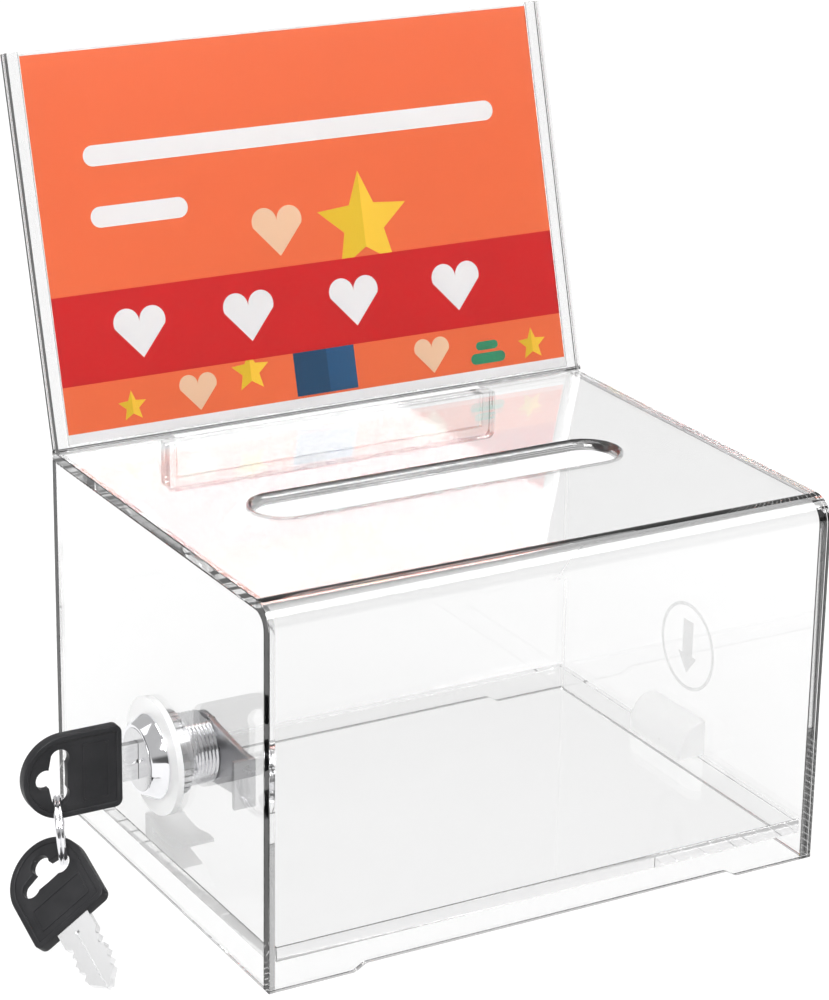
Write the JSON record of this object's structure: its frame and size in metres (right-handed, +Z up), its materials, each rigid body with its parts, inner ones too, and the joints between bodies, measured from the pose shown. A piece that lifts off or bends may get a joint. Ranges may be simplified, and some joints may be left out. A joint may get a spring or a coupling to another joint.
{
  "type": "donation box",
  "caption": "Clear table-top donation box with a rounded coin slot, a drop-open floor, a cam lock with keys and a lift-out card holder that leans back on top.",
  "frame": {"origin": "centre of the footprint at the base, on the surface that the box stands on", "axes": "+Z up, -Y towards the front, +X towards the side wall away from the lock"},
  "size_m": [0.2025, 0.1518, 0.2004],
  "materials": {
    "clear_acrylic": "clear polished",
    "milky_plastic": "translucent moulded",
    "mark_print": "printed",
    "printed_card": "printed",
    "chrome": "polished",
    "plug_chrome": "satin",
    "cam_steel": "zinc plated",
    "dark_steel": "dark",
    "key_steel": "nickel plated",
    "key_black": "satin moulded"
  },
  "bodies": {
    "box": {"front_top_sheet": "clear_acrylic", "left_wall": "clear_acrylic", "right_wall": "clear_acrylic", "back_wall": "clear_acrylic", "pocket_spacer": "clear_acrylic", "pocket_front_plate": "clear_acrylic", "arrow_mark": "mark_print", "lock_washer": "milky_plastic", "lock_housing": "chrome", "lock_nut": "chrome"},
    "floor": {"base_plate": "clear_acrylic", "grip_block": "milky_plastic", "lock_catch": "milky_plastic"},
    "sign": {"sign_front_leaf": "clear_acrylic", "sign_spacer": "clear_acrylic", "sign_back_leaf": "clear_acrylic"},
    "card": {"sign_card": "printed_card"},
    "lock_core": {"lock_plug": "plug_chrome", "lock_cam": "cam_steel", "cam_washer": "dark_steel", "cam_screw": "cam_steel"},
    "key_1": {"key_1_blade": "key_steel", "key_1_head": "key_black"},
    "ring": {"split_ring": "chrome"},
    "key_2": {"key_2_blade": "key_steel", "key_2_head": "key_black"}
  },
  "joints": [
    {"name": "floor_swing", "type": "hinge", "parent": "box", "child": "floor", "pos_m": [0.077, 0, 0.007], "axis": [0, -1, 0], "range_deg": [0, 70]},
    {"name": "sign_lift", "type": "slide", "parent": "box", "child": "sign", "axis": [0, 0, 1], "range_m": [0, 0.015]},
    {"name": "card_slide", "type": "slide", "parent": "sign", "child": "card", "axis": [0, 0.2706, 0.9627], "range_m": [0, 0.1]},
    {"name": "lock_turn", "type": "hinge", "parent": "box", "child": "lock_core", "pos_m": [-0.08, -0.001, 0.0385], "axis": [1, 0, 0], "range_deg": [0, 90]},
    {"name": "key_1_pull", "type": "slide", "parent": "lock_core", "child": "key_1", "axis": [-1, 0, 0], "range_m": [0, 0.018]},
    {"name": "ring_swing", "type": "hinge", "parent": "key_1", "child": "ring", "pos_m": [-0.10779, -0.00101, 0.03287], "axis": [-0.3808, -0.8676, 0.3198], "range_deg": [-18, 18]},
    {"name": "key_2_swing", "type": "hinge", "parent": "ring", "child": "key_2", "pos_m": [-0.10983, -0.00908, 0.01892], "axis": [0.7108, -0.2409, 0.6608], "range_deg": [0, 28]}
  ]
}
